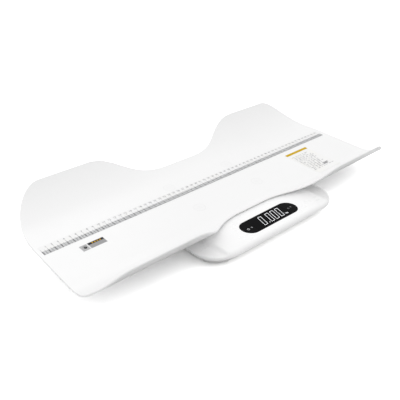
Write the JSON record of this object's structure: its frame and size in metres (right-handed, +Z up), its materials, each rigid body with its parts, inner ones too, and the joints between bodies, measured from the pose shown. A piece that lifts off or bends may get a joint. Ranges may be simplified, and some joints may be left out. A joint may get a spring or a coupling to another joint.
{
  "type": "digital baby weighing scale",
  "caption": "Baby scale: a long white trough tray with raised back wings and a scooped lip, on a low base with a dark digit display in a forward console.",
  "frame": {"origin": "on the table, under the middle of the whole scale", "axes": "+X along the tray's length, -Y towards the display console, +Z up"},
  "size_m": [0.667, 0.2917, 0.0887],
  "materials": {
    "tray_shell": "smooth white moulded plastic with a soft gloss",
    "base_shell": "smooth white moulded plastic with a soft gloss",
    "base_underside": "fine-grained white moulded plastic",
    "ruler_print": "thin printed film with grey centimetre ticks",
    "info_print": "printed label stock, satin",
    "label_print": "printed label stock, satin",
    "smoked_window": "dark smoked window, high gloss",
    "key_cap": "dark key cap, high gloss",
    "button_grey": "satin",
    "dark_rubber": "matt",
    "circuit_board": "solder-masked laminate, satin",
    "black_component": "matt moulded epoxy",
    "connector_plastic": "satin",
    "foot_plastic": "satin",
    "load_cell_steel": "stamped sheet, satin",
    "gauge_sealant": "soft sealant, satin",
    "cable_sleeve": "soft insulation, satin",
    "battery_sleeve": "plain wrapped can, gloss",
    "contact_metal": "nickel-plated spring metal",
    "screw_steel": "zinc-plated"
  },
  "bodies": {
    "base": {"top_cover": "base_shell", "bottom_cover": "base_underside", "display_lens": "smoked_window", "lens_gasket": "dark_rubber", "left_key_dome": "dark_rubber", "right_key_dome": "dark_rubber", "unit_button_dome": "dark_rubber", "foot_pad_1": "dark_rubber", "foot_pad_2": "dark_rubber", "foot_pad_3": "dark_rubber", "foot_pad_4": "dark_rubber", "tray_seat_1": "dark_rubber", "tray_seat_2": "dark_rubber", "tray_seat_3": "dark_rubber", "tray_seat_4": "dark_rubber", "display_board": "circuit_board", "main_board": "circuit_board", "board_chip": "black_component", "digit_module": "black_component", "board_connectors": "connector_plastic", "foot_1": "foot_plastic", "foot_2": "foot_plastic", "foot_3": "foot_plastic", "foot_4": "foot_plastic", "cell_carrier_1": "foot_plastic", "cell_carrier_2": "foot_plastic", "cell_carrier_3": "foot_plastic", "cell_carrier_4": "foot_plastic", "load_cell_1": "load_cell_steel", "load_cell_2": "load_cell_steel", "load_cell_3": "load_cell_steel", "load_cell_4": "load_cell_steel", "gauge_covers": "gauge_sealant", "load_cell_cable_1": "cable_sleeve", "load_cell_cable_2": "cable_sleeve", "load_cell_cable_3": "cable_sleeve", "load_cell_cable_4": "cable_sleeve", "battery_leads": "cable_sleeve", "display_cable": "cable_sleeve", "battery_1": "battery_sleeve", "battery_2": "battery_sleeve", "battery_3": "battery_sleeve", "battery_4": "battery_sleeve", "contact_plates": "contact_metal", "contact_springs": "contact_metal", "cover_screws": "screw_steel", "display_board_screws": "screw_steel", "main_board_screws": "screw_steel", "hinge_pin": "screw_steel"},
    "tray": {"tray": "tray_shell", "ruler_strip": "ruler_print", "info_sticker": "info_print", "side_label": "label_print"},
    "left_key": {"left_key": "key_cap"},
    "right_key": {"right_key": "key_cap"},
    "unit_button": {"unit_button": "button_grey"},
    "battery_door": {"battery_door": "base_underside"}
  },
  "joints": [
    {"name": "tray_lift", "type": "slide", "parent": "base", "child": "tray", "axis": [0, 0, 1], "range_m": [0, 0.08]},
    {"name": "left_key_press", "type": "slide", "parent": "base", "child": "left_key", "axis": [0, 0, -1], "range_m": [0, 0.0008], "stiffness_N_per_m": 900, "springref_m": -0.0006, "deforming": ["left_key_dome"]},
    {"name": "right_key_press", "type": "slide", "parent": "base", "child": "right_key", "axis": [0, 0, -1], "range_m": [0, 0.0008], "stiffness_N_per_m": 900, "springref_m": -0.0006, "deforming": ["right_key_dome"]},
    {"name": "unit_button_press", "type": "slide", "parent": "base", "child": "unit_button", "axis": [0, 0, 1], "range_m": [0, 0.001], "stiffness_N_per_m": 700, "springref_m": -0.0004, "deforming": ["unit_button_dome"]},
    {"name": "battery_door_hinge", "type": "hinge", "parent": "base", "child": "battery_door", "pos_m": [0, 0.07, 0.0056], "axis": [1, 0, 0], "range_deg": [0, 90]}
  ]
}
